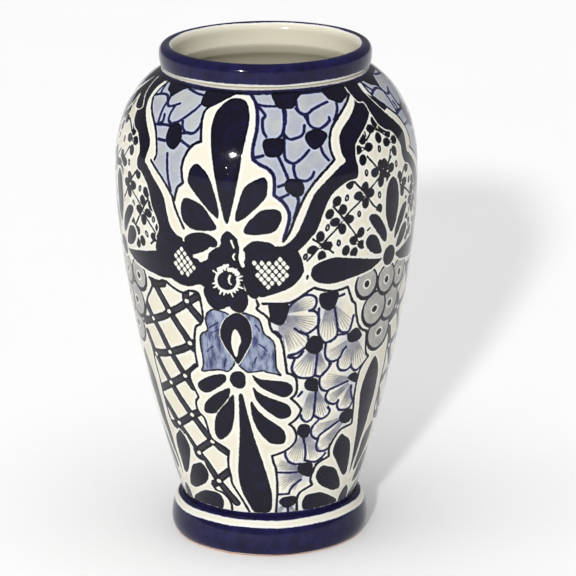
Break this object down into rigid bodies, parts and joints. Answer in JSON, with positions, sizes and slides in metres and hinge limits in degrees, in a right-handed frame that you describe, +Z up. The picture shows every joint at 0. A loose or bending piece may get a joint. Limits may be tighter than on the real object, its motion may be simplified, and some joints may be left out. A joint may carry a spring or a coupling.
{
  "type": "talavera pottery vase",
  "caption": "Wide-shouldered glazed earthenware jar with a rolled lip and bun foot, painted in cobalt on tin-white glaze, for holding flowers or standing as an ornament.",
  "frame": {"origin": "centre of the foot ring's tread, on the surface that the vase stands on", "axes": "+Z up along the axis that the vase is thrown about, -Y towards the front of the painted pattern"},
  "size_m": [0.182, 0.182, 0.305],
  "materials": {
    "foot_cobalt": "glossy ultramarine glaze, unglazed on the tread",
    "lower_tin_glaze": "glossy warm-white tin glaze with cobalt brush painting",
    "upper_tin_glaze": "glossy warm-white tin glaze with cobalt brush painting",
    "rim_cobalt": "glossy ultramarine glaze"
  },
  "bodies": {
    "root": {"foot_ring": "foot_cobalt", "lower_body": "lower_tin_glaze", "upper_body": "upper_tin_glaze", "rim_roll": "rim_cobalt"}
  },
  "joints": []
}
